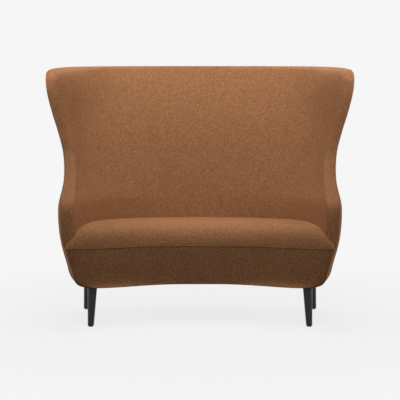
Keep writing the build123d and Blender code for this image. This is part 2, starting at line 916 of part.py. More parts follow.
def make_rear_block():
    """A glue block behind the joint of the right side rail and the rear rail."""
    face = rail_inner_face + 2 * gap
    start, stop = at_share(rear_block_span_shares[0]), at_share(rear_block_span_shares[1])
    outer, inner = ("outside", face), ("outside", face + block_thickness)
    return shell_layer(rail_top - block_height, rail_top, outer, inner, start, stop)


def pair(piece):
    """A piece and its mirror image."""
    return [piece, left_of(piece)]


def make_pieces():
    """Every piece of the sofa by its name."""
    pieces = {}
    leg_places = {"front": (front_leg_top, front_leg_foot), "rear": (rear_leg_top, rear_leg_foot)}
    for name, (top, foot) in leg_places.items():
        leg = make_leg(top, foot)
        pieces["leg_" + name + "_right"] = leg
        pieces["leg_" + name + "_left"] = left_of(leg)
    glides, bolts, inserts = [], [], []
    for top, foot in leg_places.values():
        glide = Solid.make_cylinder(glide_radius, glide_thickness, Plane(origin=(foot[0], foot[1], 0)))
        insert = bolt_space(top, insert_radius, 0, insert_length)
        insert = insert - bolt_space(top, bolt_radius + gap, overrun, overrun)
        glides += pair(glide)
        bolts += pair(bolt_space(top, bolt_radius, bolt_depth_in_leg, insert_length))
        inserts += pair(insert)
    pieces["floor_glides"] = glides
    pieces["leg_bolts"] = bolts
    pieces["leg_inserts"] = inserts

    board = make_leg_board()
    pieces["leg_board_right"] = board
    pieces["leg_board_left"] = left_of(board)
    pieces["front_rail"] = make_front_rail()
    side_rail = make_side_rail()
    pieces["side_rail_right"] = side_rail
    pieces["side_rail_left"] = left_of(side_rail)
    pieces["rear_rail"] = make_rear_rail()
    pieces["cross_rails"] = pair(make_cross_rail())
    pieces["front_corner_blocks"] = pair(make_front_block())
    pieces["rear_corner_blocks"] = pair(make_rear_block())
    pieces["board_screws"] = pair(make_screw())
    pieces["dust_cover"] = make_dust_cover()

    pieces["seat_webbing_long"] = make_long_straps()
    pieces["seat_webbing_cross"] = make_cross_straps()
    pieces["seat_hessian"] = make_hessian()
    pieces["seat_base_foam"] = make_base_foam()
    pieces["seat_pad_foam"] = make_pad(wadding_face, seam_height)
    pieces["seat_cover"] = make_seat_cover()
    pieces["seat_welt"] = make_seat_welt()
    pieces["border_padding"] = make_border_padding()
    pieces["border_cover"] = make_border_cover()

    former = make_former()
    pieces["edge_former_right"] = former
    pieces["edge_former_left"] = left_of(former)
    pieces["arm_hoop"] = make_hoop(arm_hoop_share)
    pieces["shoulder_hoop"] = make_hoop(shoulder_hoop_share)
    top_hoop_share = body_share(band_top - hoop_height)
    pieces["top_hoop"] = make_hoop(top_hoop_share)
    for name, span in (
        ("side", side_post_span_shares),
        ("rear", rear_post_span_shares),
        ("centre", centre_post_span_shares),
    ):
        post = make_post(span)
        pieces[name + "_post_right"] = post
        pieces[name + "_post_left"] = left_of(post)
    pieces["back_webbing"] = make_back_straps()

    edge = behind_edge(edge_round)
    outer, inner = ("outside", foam_face), ("inside", wadding_face)
    foam_edge = behind_edge(edge_round + roll_foot_gap)
    pieces["inside_foam"] = shell_layer(deck, band_top, outer, inner, foam_edge)
    outer, inner = ("inside", cover_thickness), ("inside", 0)
    pieces["inside_cover"] = shell_layer(deck, band_top, outer, inner, edge)
    outer, inner = ("outside", panel_face), ("outside", panel_face + panel_thickness)
    pieces["outside_panel"] = shell_layer(rail_bottom, band_top, outer, inner, edge)
    outer, inner = ("outside", wadding_face), ("outside", wadding_face + wadding_thickness)
    pieces["outside_wadding"] = shell_layer(rail_bottom, band_top, outer, inner, edge)
    outer, inner = ("outside", 0), ("outside", cover_thickness)
    top = band_top - welt_channel
    pieces["outside_cover"] = shell_layer(body_bottom, top, outer, inner, behind_channel)
    pieces["edge_roll"] = make_edge_roll()
    pieces["edge_facing"] = make_edge_facing()
    pieces["edge_welt"] = make_edge_welt()
    return pieces


def write(name, shape):
    """One STEP file for a piece or a group of equal pieces."""
    if isinstance(shape, list):
        shape = Compound(children=shape)
    export_step(shape, os.path.join("parts", name + ".step"))


os.makedirs("parts", exist_ok=True)
for piece_name, piece_shape in make_pieces().items():
    write(piece_name, piece_shape)
    print(piece_name, "written")
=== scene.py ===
import bpy
import bmesh
import json
import math
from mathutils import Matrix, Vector


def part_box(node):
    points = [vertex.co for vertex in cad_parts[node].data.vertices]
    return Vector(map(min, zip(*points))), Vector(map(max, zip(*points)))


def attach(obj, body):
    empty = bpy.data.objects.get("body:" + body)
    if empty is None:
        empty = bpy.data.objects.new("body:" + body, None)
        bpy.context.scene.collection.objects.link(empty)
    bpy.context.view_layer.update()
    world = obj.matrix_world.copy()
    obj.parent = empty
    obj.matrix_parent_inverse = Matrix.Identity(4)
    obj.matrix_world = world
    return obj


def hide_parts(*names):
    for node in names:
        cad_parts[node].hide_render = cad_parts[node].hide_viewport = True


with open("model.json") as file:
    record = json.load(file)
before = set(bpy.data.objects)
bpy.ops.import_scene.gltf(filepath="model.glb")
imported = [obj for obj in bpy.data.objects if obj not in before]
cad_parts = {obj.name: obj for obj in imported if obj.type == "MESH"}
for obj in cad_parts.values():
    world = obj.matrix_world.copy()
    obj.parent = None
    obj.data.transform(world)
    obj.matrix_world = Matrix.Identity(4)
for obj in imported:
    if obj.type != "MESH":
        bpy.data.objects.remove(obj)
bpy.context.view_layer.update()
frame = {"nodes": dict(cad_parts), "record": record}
print("frame loaded")

# Wing sofa: shell, border, seat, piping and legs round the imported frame. Metres, front towards -Y.

nodes = frame["nodes"]

body = {
    "halfWidth": 0.772,      # widest place of the wings
    "halfDepth": 0.440,
    "bottom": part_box("outside_cover")[0][2],
    "top": 1.310,
    "edgeThickness": 0.058,
    "lean": 0.048,           # how steeply the top plane falls towards the front
    "leanStart": 0.54,
    "droop": 0.019,          # how far the wings' upper edge falls to their front corners
    "droopStart": 0.30,      # where the fall starts, and over what depth it grows
    "droopReach": 0.50,
    "droopLevel": 0.82,      # the share of the height from which it counts
}
bodyHeight = body["top"] - body["bottom"]

# level, front edge x, front edge y, side handle x, side handle run, corner handle x, back y
outsideForm = [
    (0.000, 0.742, -0.853, 0.894, 0.72, 1.036, 0.659),
    (0.006, 0.764, -0.885, 0.907, 0.72, 1.036, 0.664),
    (0.017, 0.784, -0.915, 0.915, 0.72, 1.036, 0.668),
    (0.038, 0.799, -0.929, 0.934, 0.72, 1.030, 0.677),
    (0.073, 0.811, -0.936, 0.953, 0.70, 1.010, 0.693),
    (0.123, 0.834, -0.939, 0.979, 0.68, 0.985, 0.716),
    (0.173, 0.855, -0.941, 1.003, 0.66, 0.959, 0.739),
    (0.239, 0.869, -0.941, 1.025, 0.62, 0.926, 0.768),
    (0.302, 0.877, -0.934, 1.032, 0.60, 0.894, 0.791),
    (0.338, 0.879, -0.918, 1.031, 0.58, 0.874, 0.805),
    (0.363, 0.880, -0.885, 1.022, 0.57, 0.855, 0.814),
    (0.387, 0.881, -0.785, 1.009, 0.56, 0.835, 0.823),
    (0.418, 0.882, -0.622, 0.992, 0.55, 0.816, 0.832),
    (0.463, 0.885, -0.440, 0.969, 0.54, 0.797, 0.848),
    (0.525, 0.892, -0.275, 0.960, 0.53, 0.777, 0.870),
    (0.606, 0.909, -0.182, 0.964, 0.52, 0.764, 0.895),
    (0.687, 0.938, -0.193, 0.979, 0.52, 0.764, 0.920),
    (0.776, 0.970, -0.273, 1.003, 0.52, 0.777, 0.943),
    (0.857, 0.992, -0.368, 1.010, 0.52, 0.793, 0.964),
    (0.919, 1.000, -0.432, 1.012, 0.52, 0.799, 0.980),
    (0.960, 1.000, -0.452, 1.010, 0.52, 0.799, 0.989),
    (1.000, 0.996, -0.455, 1.006, 0.52, 0.796, 0.996),
]

# level, side handle x, side handle run, corner handle x, back y
insideForm = [
    (0.120, 0.900, 0.60, 0.860, 0.341),
    (0.173, 0.900, 0.60, 0.860, 0.352),
    (0.272, 0.895, 0.60, 0.860, 0.382),
    (0.364, 0.930, 0.58, 0.840, 0.432),
    (0.463, 0.980, 0.55, 0.800, 0.505),
    (0.606, 1.010, 0.52, 0.760, 0.614),
    (0.776, 0.985, 0.48, 0.740, 0.723),
    (0.919, 0.940, 0.40, 0.760, 0.791),
    (1.000, 0.920, 0.36, 0.780, 0.826),
]


def eased(rows, column, at):
    # a smooth, monotone curve through one column of a form table
    places = [row[0] for row in rows]
    values = [row[column] for row in rows]
    if at <= places[0]:
        return values[0]
    if at >= places[-1]:
        return values[-1]
    low = max(i for i in range(len(places) - 1) if places[i] <= at)

    def slopeAt(i):
        if i == 0 or i == len(places) - 1:
            j = min(i, len(places) - 2)
            return (values[j + 1] - values[j]) / (places[j + 1] - places[j])
        before, after = places[i] - places[i - 1], places[i + 1] - places[i]
        left = (values[i] - values[i - 1]) / before
        right = (values[i + 1] - values[i]) / after
        if left * right <= 0:
            return 0
        heavy, light = 2 * after + before, after + 2 * before
        return (heavy + light) / (heavy / left + light / right)

    span = places[low + 1] - places[low]
    t = (at - places[low]) / span
    return (
        (1 + 2 * t) * (1 - t) ** 2 * values[low] + t * t * (3 - 2 * t) * values[low + 1]
        + span * t * (1 - t) ** 2 * slopeAt(low) - span * t * t * (1 - t) * slopeAt(low + 1)
    )


def planPoint(handles, run):
    # a place on one half of the plan, from the front edge (0) to the middle of the back (1)
    rest = 1 - run
    weights = (rest ** 3, 3 * rest * rest * run, 3 * rest * run * run, run ** 3)
    x = sum(w * handle[0] for w, handle in zip(weights, handles))
    y = sum(w * handle[1] for w, handle in zip(weights, handles))
    return (x, y)


def planSlope(handles, run):
    rest = 1 - run
    weights = (rest * rest, 2 * rest * run, run * run)
    x = sum(w * (b[0] - a[0]) for w, a, b in zip(weights, handles, handles[1:]))
    y = sum(w * (b[1] - a[1]) for w, a, b in zip(weights, handles, handles[1:]))
    length = math.hypot(x, y)
    return x / length, y / length


def outsidePlan(level):
    share = (level - body["bottom"]) / bodyHeight
    row = [eased(outsideForm, column, share) for column in range(1, 7)]
    edge = (row[0] * body["halfWidth"], row[1] * body["halfDepth"])
    back = row[5] * body["halfDepth"]
    side = (row[2] * body["halfWidth"], edge[1] + row[3] * (back - edge[1]))
    return (edge, side, (row[4] * body["halfWidth"], back), (0, back))


def insidePlan(level):
    share = (level - body["bottom"]) / bodyHeight
    row = [eased(insideForm, column, share) for column in range(1, 5)]
    outside = outsidePlan(level)
    x, y = outside[0]
    alongX, alongY = planSlope(outside, 0)
    edge = (x - alongY * body["edgeThickness"], y + alongX * body["edgeThickness"])
    back = row[3] * body["halfDepth"]
    side = (row[0] * edge[0], edge[1] + row[1] * (back - edge[1]))
    return (edge, side, (row[2] * edge[0], back), (0, back))


def raised(level, x, y):
    # a plan place at its height, with the lean of the top and the fall of the wings
    share = ((level - body["bottom"]) / bodyHeight - body["leanStart"]) / (1 - body["leanStart"])
    tilt = body["lean"] * max(0, min(1, share))
    back = outsidePlan(level)[3][1]
    high = ((level - body["bottom"]) / bodyHeight - body["droopLevel"]) / (1 - body["droopLevel"])
    forward = max(0, (body["droopStart"] - y) / body["droopReach"])
    droop = body["droop"] * forward ** 2 * max(0, min(1, high)) ** 1.5
    return Vector((x, y, level - tilt * (back - y) - droop))


def runAt(handles, distance):
    # the place on a half plan that lies a short distance behind the front edge
    return distance / (3 * math.hypot(handles[1][0] - handles[0][0], handles[1][1] - handles[0][1]))


print("forms read")


def deselectAll():
    if bpy.context.object and bpy.context.object.mode != "OBJECT":
        bpy.ops.object.mode_set(mode="OBJECT")
    bpy.ops.object.select_all(action="DESELECT")


def activate(piece):
    deselectAll()
    piece.select_set(True)
    bpy.context.view_layer.objects.active = piece


def applied(piece, kind, **settings):
    # adds one modifier and applies it
    activate(piece)
    modifier = piece.modifiers.new(kind.title(), kind)
    for name, value in settings.items():
        setattr(modifier, name, value)
    bpy.ops.object.modifier_apply(modifier=modifier.name)


def settled(piece):
    # puts the piece's place into its mesh
    activate(piece)
    bpy.ops.object.transform_apply(location=True, rotation=True, scale=True)


def outwardNormals(piece):
    activate(piece)
    bpy.ops.object.mode_set(mode="EDIT")
    bpy.ops.mesh.select_all(action="SELECT")
    bpy.ops.mesh.remove_doubles(threshold=1e-5)
    bpy.ops.mesh.normals_make_consistent(inside=False)
    bpy.ops.object.mode_set(mode="OBJECT")


def smoothShaded(piece):
    activate(piece)
    bpy.ops.object.shade_smooth()


def gridPiece(name, columns, rows, placeOf):
    # a flat grid, its vertices then moved to their places on the form
    deselectAll()
    bpy.ops.mesh.primitive_grid_add(x_subdivisions=columns - 1, y_subdivisions=rows - 1, size=2)
    piece = bpy.context.object
    piece.name = name
    for vertex in piece.data.vertices:
        column = round((vertex.co.x + 1) / 2 * (columns - 1))
        row = round((vertex.co.y + 1) / 2 * (rows - 1))
        vertex.co = placeOf(column, row)
    return piece


def growEdge(piece, keys, placeOf, steps):
    # extrudes the open edges that run along the keyed places, one step of the profile at a time
    known = {tuple(round(c, 5) for c in place): key for key, place in keys.items()}
    here = set(known)
    for step in steps:
        activate(piece)
        bpy.ops.object.mode_set(mode="EDIT")
        bpy.ops.mesh.select_mode(type="EDGE")
        bpy.ops.mesh.select_all(action="DESELECT")
        mesh = bmesh.from_edit_mesh(piece.data)
        for edge in mesh.edges:
            ends = [tuple(round(c, 5) for c in vertex.co) for vertex in edge.verts]
            if edge.is_boundary and ends[0] in here and ends[1] in here:
                edge.select = True
        bmesh.update_edit_mesh(piece.data)
        bpy.ops.mesh.extrude_edges_move()
        mesh = bmesh.from_edit_mesh(piece.data)
        moved = {}
        for vertex in mesh.verts:
            if vertex.select:
                key = known[tuple(round(c, 5) for c in vertex.co)]
                vertex.co = placeOf(key, step)
                moved[tuple(round(c, 5) for c in vertex.co)] = key
        bmesh.update_edit_mesh(piece.data)
        bpy.ops.object.mode_set(mode="OBJECT")
        known = moved
        here = set(known)


def pipingPiece(name, points, radius, roundness=2):
    # a cord along a run of points, as a curve that is then made a mesh
    deselectAll()
    bpy.ops.curve.primitive_nurbs_path_add()
    cord = bpy.context.object
    cord.name = name
    cord.data.splines.clear()
    spline = cord.data.splines.new("NURBS")
    spline.points.add(len(points) - 1)
    for handle, point in zip(spline.points, points):
        handle.co = (*point, 1)
    spline.order_u = 4
    spline.use_endpoint_u = True
    spline.resolution_u = 2
    cord.data.bevel_depth = radius
    cord.data.bevel_resolution = roundness
    cord.data.use_fill_caps = True
    activate(cord)
    bpy.ops.object.convert(target="MESH")
    cord = bpy.context.object
    settled(cord)
    outwardNormals(cord)
    smoothShaded(cord)
    return cord


# The shell: arms, wings and back in one, with a cover on each face
shell = {
    "facingRound": 0.044,    # how far the inside's roundness reaches behind the edge
    "shoulderRound": 0.010,  # the same on the outside, up to the piping
    "cornerRadius": 0.062,   # the wings' upper corners
    "facingCrown": 0.0012,   # how far the front face falls back towards the piping
    "clothThickness": 0.0016,
    "pipingRadius": 0.0022,
    "nearEdge": 0.12,        # up to here, places are distances behind the edge
    "upperTaper": 0.30,      # how much thinner the wings grow towards their upper corners
    "upperReach": 0.22,
    "softFrom": 0.38,        # the share of the height where the firm arm turns into the soft wing
    "softOver": 0.22,
    "cornerReach": 0.50,     # how far the soft corner runs along the upper edge
    "topFirmness": 0.45,     # how square the edge is where it is firm, 1 is round
    "sideFirmness": 0.42,
    "flatDepth": 0.70,       # where the flat front starts, as a share of the thickness
    "softFlat": 0.22,        # how much narrower that flat front is where the edge is soft
    "leastDepth": 0.16,
    "shoulderDepth": 0.12,   # where the flat front ends
    "tuckDepth": 0.05,       # how deep both covers end behind the piping
    "pipingDepth": -0.012,   # the piping's middle, just outside the cover
    "cornerSteps": 10,
    "cornerEase": 1.3,
    "nearSteps": 3,
    "backColumns": 44,
    "insideRows": 62,
    "outsideRows": 66,
    "footRises": (0, 0.0015, 0.004, 0.008, 0.013, 0.020, 0.030),    # rows of the rounded foot
    "footHeight": 0.042,
}
planCache = {}


def plansAt(level):
    key = round(level, 6)
    if key not in planCache:
        planCache[key] = (outsidePlan(level), insidePlan(level))
    return planCache[key]


def runOf(plan, place):
    # near the edge a place is a distance, further back a share of the rest
    near = shell["nearEdge"]
    if place <= near:
        return runAt(plan, place)
    first = runAt(plan, near)
    return first + (1 - first) * (place - near)


def shellPoint(level, place, depth):
    # a point of the shell: depth 0 is its outside, 1 its inside
    outside, inside = plansAt(level)
    ox, oy = planPoint(outside, runOf(outside, place))
    ix, iy = planPoint(inside, runOf(inside, place))
    return raised(level, ox + (ix - ox) * depth, oy + (iy - oy) * depth)


def roundedCorner(behind, below):
    # squeezes the square corner of the shell's sheet into a round one
    radius = shell["cornerRadius"]
    if behind >= radius or below >= radius:
        return behind, below
    x, y = (radius - behind) / radius, (radius - below) / radius
    reach = max(x, y)
    if reach <= 0:
        return behind, below
    turn = math.pi / 4 * (y / x) if x >= y else math.pi / 2 - math.pi / 4 * (x / y)
    return radius - radius * reach * math.cos(turn), radius - radius * reach * math.sin(turn)


def spaced(first, last, count, ease=1.0):
    return [first + (last - first) * (i / count) ** ease for i in range(count + 1)]


def sheetSteps(edge):
    # places behind the front edge and below the top, closer together near the edge
    radius, near = shell["cornerRadius"], shell["nearEdge"]
    corner = spaced(edge, radius, shell["cornerSteps"], shell["cornerEase"])
    return corner + spaced(radius, near, shell["nearSteps"])[1:]


def easing(value):
    value = max(0, min(1, value))
    return value * value * (3 - 2 * value)


def softness(behind, below):
    # how soft the side and the top edge are: 1 at the wing's corner, 0 at the arm and mid back
    side = easing((1 - below / bodyHeight - shell["softFrom"]) / shell["softOver"])
    top = easing(1 - (behind - shell["cornerRadius"]) / shell["cornerReach"])
    return side, top


def insideDepth(behind, below):
    top = softness(behind, below)[1]
    return 1 - shell["upperTaper"] * top * max(0, 1 - below / shell["upperReach"]) ** 2


def outsideDepth(behind, below):
    return 0


def sheetPiece(name, edge, depthAt, bottomLevels):
    # one face of the shell, from its foot to 'edge' below the top and behind the front edges
    steps = sheetSteps(edge)
    half = steps + [shell["nearEdge"] + share for share in spaced(0, 1, shell["backColumns"])[1:]]
    levels = bottomLevels + [body["top"] - step for step in reversed(steps)]
    belows = [body["top"] - level for level in levels]
    columns = len(half) * 2 - 1
    middle = len(half) - 1
    keys = {}

    def placeOf(column, row):
        behind = half[column] if column <= middle else half[2 * middle - column]
        place, down = roundedCorner(behind, belows[row])
        point = shellPoint(body["top"] - down, place, depthAt(behind, belows[row]))
        if column > middle:
            point.x = -point.x
        if column in (0, columns - 1) or row == len(levels) - 1:
            keys[(column > middle, behind, belows[row])] = point.copy()
        return point

    piece = gridPiece(name, columns, len(levels), placeOf)
    ring = [(False, half[0], under) for under in belows]
    ring += [(False, behind, belows[-1]) for behind in half[1:]]
    ring += [(True, behind, belows[-1]) for behind in reversed(half[:-1])]
    ring += [(True, half[0], under) for under in reversed(belows[:-1])]
    return piece, keys, ring


def rimPlace(key, edge, toEdge):
    # where a place of the rim moves to as it comes nearer to the edge, before the corner is rounded
    behind, below = key[1:]
    radius = shell["cornerRadius"]
    if behind < radius and below < radius:
        squeeze = (radius - toEdge) / (radius - edge)
        return radius - (radius - behind) * squeeze, radius - (radius - below) * squeeze
    return (toEdge, below) if below >= radius else (behind, toEdge)


def rimPoint(key, edge, toEdge, depth):
    # a point of the rim: 'toEdge' is its distance to the very edge
    behind, below = roundedCorner(*rimPlace(key, edge, toEdge))
    point = shellPoint(body["top"] - below, behind, depth)
    if key[0]:
        point.x = -point.x
    return point


facingSteps = (
    [("round", turn) for turn in spaced(0, math.pi / 2, 9)[1:]]
    + [("flat", share) for share in spaced(0, 1, 4)[1:]]
    + [("shoulder", turn) for turn in spaced(0, math.pi / 2, 5)[1:]]
    + [("tuck", 0)]
)


def facingPoint(key, step):
    # the profile of the edge, from the inside face over the rounded front to the piping
    kind, at = step
    reach, shoulder, crownFall = shell["facingRound"], shell["shoulderRound"], shell["facingCrown"]
    onTop = key[2] < shell["cornerRadius"] and key[1] > key[2]
    side, top = softness(*key[1:])
    soft, firm = (top, shell["topFirmness"]) if onTop else (side, shell["sideFirmness"])
    roundness = firm + (1 - firm) * soft
    flatDepth = shell["flatDepth"] - shell["softFlat"] * soft
    least, shoulderDepth = shell["leastDepth"], shell["shoulderDepth"]
    if kind == "round":
        toEdge = reach * (1 - math.sin(at) ** roundness)
        thinner = 1 - insideDepth(*rimPlace(key, reach, toEdge))
        turned = max(0, math.cos(at)) ** roundness
        depth = max(least, flatDepth + (1 - flatDepth) * turned - thinner)
    elif kind == "flat":
        toEdge = crownFall * at ** 2
        start = max(least, flatDepth - 1 + insideDepth(*rimPlace(key, reach, 0)))
        depth = start + (shoulderDepth - start) * at
    elif kind == "shoulder":
        toEdge = crownFall + (shoulder - crownFall) * (1 - math.cos(at))
        depth = shoulderDepth * (1 - math.sin(at))
    else:
        toEdge, depth = shoulder + shell["pipingRadius"] / 2, shell["tuckDepth"]
    return rimPoint(key, reach, toEdge, depth)


def facedTo(piece, place, direction):
    # turns all faces over if the one nearest to a place looks away from a direction
    nearest = min(piece.data.polygons, key=lambda face: (face.center - Vector(place)).length)
    if nearest.normal.dot(Vector(direction)) < 0:
        activate(piece)
        bpy.ops.object.mode_set(mode="EDIT")
        bpy.ops.mesh.select_all(action="SELECT")
        bpy.ops.mesh.flip_normals()
        bpy.ops.object.mode_set(mode="OBJECT")


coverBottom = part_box("edge_facing")[0][2]
sheetTop = body["top"] - shell["nearEdge"]
insideLevels = spaced(coverBottom, sheetTop, shell["insideRows"])[:-1]
insideCover, insideKeys = sheetPiece(
    "insideCover", shell["facingRound"], insideDepth, insideLevels
)[:2]
growEdge(insideCover, insideKeys, facingPoint, facingSteps)
facedTo(insideCover, (0, 0.30, 1.0), (0, -1, 0))
applied(insideCover, "SOLIDIFY", thickness=shell["clothThickness"], offset=-1)
outwardNormals(insideCover)
smoothShaded(insideCover)
print("inside cover made")

pipeEdge = shell["shoulderRound"] + 2 * shell["pipingRadius"]
bottom = body["bottom"]
footLevels = [bottom + rise for rise in shell["footRises"]]
footTop = bottom + shell["footHeight"]
outsideLevels = footLevels + spaced(footTop, sheetTop, shell["outsideRows"])[:-1]
outsideCover, outsideKeys, outsideRing = sheetPiece(
    "outsideCover", pipeEdge, outsideDepth, outsideLevels
)
tuck = [(pipeEdge - shell["pipingRadius"] / 2, shell["tuckDepth"])]
growEdge(outsideCover, outsideKeys, lambda key, step: rimPoint(key, pipeEdge, *step), tuck)
facedTo(outsideCover, (0, 0.40, 1.0), (0, 1, 0))
applied(outsideCover, "SOLIDIFY", thickness=shell["clothThickness"], offset=-1)
outwardNormals(outsideCover)
smoothShaded(outsideCover)
print("outside cover made")

pipeMiddle = shell["shoulderRound"] + shell["pipingRadius"]
pipeRing = [key for key in outsideRing if key[2] <= body["top"] - coverBottom - 0.001]
pipePoints = [rimPoint(key, pipeEdge, pipeMiddle, shell["pipingDepth"]) for key in pipeRing]
edgePiping = pipingPiece("edgePiping", pipePoints, shell["pipingRadius"])
print("edge piping made")

# The border below the seat
border = {
    "height": 0.193,         # from the sofa's foot to the seam
    "behindWelt": 0.0034,    # its face, behind the front of the CAD's piping
    "sag": 0.160,            # how far the seat's front curves inwards
    "sagFlatness": 1.5,
    "lean": 0.018,           # how far the border hangs back at its foot
    "middleLean": 0.17,      # the same in the middle, as a share
    "cornerWidth": 1.2,      # the rounded end's width, as a share of its depth
    "frontPoints": 70,
    "cornerPoints": 12,
    "sidePoints": 4,
    "rows": 26,
    "belowSeam": 0.0002,
    "seamBehind": 0.0025,    # where the seam ends, behind the arm's front edge
    "pipingOut": 0.0007,     # the piping's middle, in front of the face
    "pipingRadius": 0.0024,
}
seamHeight = body["bottom"] + border["height"]
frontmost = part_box("seat_welt")[0][1] + border["behindWelt"]


def borderRise(level):
    return max(0, min(1, (level - body["bottom"]) / (seamHeight - body["bottom"])))


def frontCorner(level):
    return frontmost + border["lean"] * (1 - borderRise(level))


def frontHalf(level):
    x, y = plansAt(level)[0][0]
    return x - border["cornerWidth"] * (y - frontCorner(level))


def frontDepth(level, x, half):
    hang = border["middleLean"] * border["lean"] * (1 - borderRise(level))
    middle = frontCorner(seamHeight) + border["sag"] + hang
    sag = (1 - math.cos(math.pi * min(1, abs(x) / half) ** border["sagFlatness"])) / 2
    return middle + (frontCorner(level) - middle) * sag


def frontLine(level, sideBehind):
    # the border's face in plan, from the right side round both corners to the left side
    outside = plansAt(level)[0]
    half = frontHalf(level)
    edgeX, edgeY = outside[0]
    behinds = spaced(sideBehind, 0, border["sidePoints"])[:-1]
    right = [planPoint(outside, runAt(outside, behind)) for behind in behinds]
    for turn in spaced(0, math.pi / 2, border["cornerPoints"])[:-1]:
        x = edgeX - (edgeX - half) * (1 - math.cos(turn))
        right.append((x, edgeY - (edgeY - frontCorner(level)) * math.sin(turn)))
    for x in spaced(half, 0, border["frontPoints"] // 2):
        right.append((x, frontDepth(level, x, half)))
    return right + [(-x, y) for x, y in reversed(right[:-1])]


def lineOffset(points, distance):
    # a plan line moved outwards; it runs from right to left along the front
    moved = []
    for i, (x, y) in enumerate(points):
        before, after = points[max(i - 1, 0)], points[min(i + 1, len(points) - 1)]
        alongX, alongY = after[0] - before[0], after[1] - before[1]
        length = math.hypot(alongX, alongY)
        moved.append((x - alongY / length * distance, y + alongX / length * distance))
    return moved


borderLevels = footLevels + spaced(footTop, seamHeight - border["belowSeam"], border["rows"])
borderLines = [frontLine(level, pipeEdge) for level in borderLevels]


def borderPlace(column, row):
    x, y = borderLines[row][column]
    return Vector((x, y, borderLevels[row]))


borderCover = gridPiece("borderCover", len(borderLines[0]), len(borderLevels), borderPlace)
facedTo(borderCover, (0, frontmost, 0.3), (0, -1, 0))
applied(borderCover, "SOLIDIFY", thickness=shell["clothThickness"], offset=-1)
outwardNormals(borderCover)
smoothShaded(borderCover)
print("border cover made")

seamLine = frontLine(seamHeight, border["seamBehind"])
seamPoints = [(x, y, seamHeight) for x, y in lineOffset(seamLine, border["pipingOut"])]
seatPiping = pipingPiece("seatPiping", seamPoints, border["pipingRadius"])
print("seat piping made")

# The seat pad
seat = {
    "rise": 0.109,
    "overlap": 0.010,        # how far the pad runs on into the arms and the back
    "rimHeight": 0.28,       # the level above the foot at which the arms and the back bound it
    "rearRun": 0.46,         # where the arm ends and the back begins, along the inside plan
    "rearFall": 0.010,       # how far the pad falls to the back and the arms
    "fallWidth": 0.030,
    "deepestFall": 1.4,
    "endFall": 0.64,         # the share of its height that the pad loses at the ends of its front
    "endFallWidth": 0.130,
    "endFallPower": 2.2,
    "cornerBlend": 6,
    "frontBehind": -0.0004,  # the pad's front line, in front of the seam's
    "depthBelow": 0.016,     # how far its wall runs on below the seam
    "wallInset": 0.004,
    "wallFrom": -0.2,        # the wall in front of this place is set back by the inset
    "rearRows": 34,
    "voxel": 0.006,
    "smoothing": 4,
    "pressure": 4.0,
    "quality": 5,
    "frames": 20,
    "cap": 0.004,            # how far a point may swell
    "capFrom": 0.010,        # from this height above the seam, growing over the next one
    "capOver": 0.05,
}
# the pad's front: (rise, inset), shares of the whole rise
crown = [
    (0.00, 0.000), (0.10, 0.012), (0.22, 0.037), (0.34, 0.070), (0.45, 0.115),
    (0.55, 0.175), (0.65, 0.250), (0.73, 0.335), (0.80, 0.440), (0.86, 0.560),
    (0.91, 0.710), (0.95, 0.890), (0.98, 1.130), (1.00, 1.560),
]


def insideRim(run, side):
    # the arm's or the back's inner face at the height of the pad
    inside = plansAt(body["bottom"] + seat["rimHeight"])[1]
    x, y = planPoint(inside, run)
    alongX, alongY = planSlope(inside, run)
    return Vector((side * (x + alongY * seat["overlap"]), y - alongX * seat["overlap"]))


def seatPlan(across, back):
    # a point of the pad in plan: 'across' runs from -1 to 1, 'back' from the front line to the back
    def front(at):
        index = (1 - at) / 2 * (len(seatFront) - 1)
        low = min(int(index), len(seatFront) - 2)
        return seatFront[low].lerp(seatFront[low + 1], index - low)

    def rear(at):
        return insideRim(1 - abs(at) * (1 - seat["rearRun"]), 1 if at >= 0 else -1)

    right = insideRim(back * seat["rearRun"], 1)
    left = insideRim(back * seat["rearRun"], -1)
    share = (across + 1) / 2
    rows = front(across) * (1 - back) + rear(across) * back
    sides = left * (1 - share) + right * share
    frontCorners = leftCorner * (1 - share) + rightCorner * share
    rearCorners = rear(-1) * (1 - share) + rear(1) * share
    corners = frontCorners * (1 - back) + rearCorners * back
    return rows + (sides - corners) * min(1, back * seat["cornerBlend"])


def seatRise(inset):
    # the height of the pad at a distance behind its front line
    share = inset / seat["rise"]
    for (low, near), (high, far) in zip(crown, crown[1:]):
        if share <= far:
            return seat["rise"] * (low + (high - low) * (share - near) / (far - near))
    return seat["rise"]


seatFront = [Vector(point) for point in lineOffset(seamLine, seat["frontBehind"])]
leftCorner, rightCorner = insideRim(0, -1), insideRim(0, 1)
frontInsets = [inset * seat["rise"] for rise, inset in crown]
seatColumns = len(seatFront)


def seatPlace(column, row):
    across = 1 - 2 * column / (seatColumns - 1)
    start = seatFront[column]
    length = (seatPlan(across, 1) - start).length
    if row < len(frontInsets):
        inset = frontInsets[row]
    else:
        share = (row - len(frontInsets) + 1) / seat["rearRows"]
        inset = frontInsets[-1] + (length - frontInsets[-1]) * share
    place = seatPlan(across, inset / length)
    toBack = max(0, 1 - (length - inset - seat["overlap"]) / seat["fallWidth"])
    toEnd = min(1, max(0, 1 - (seatFront[0].x - abs(place.x)) / seat["endFallWidth"]))
    rise = seatRise(inset) * (1 - seat["endFall"] * toEnd ** seat["endFallPower"])
    fall = seat["rearFall"] * min(seat["deepestFall"], toBack) ** 2
    return Vector((place.x, place.y, seamHeight + rise - fall))


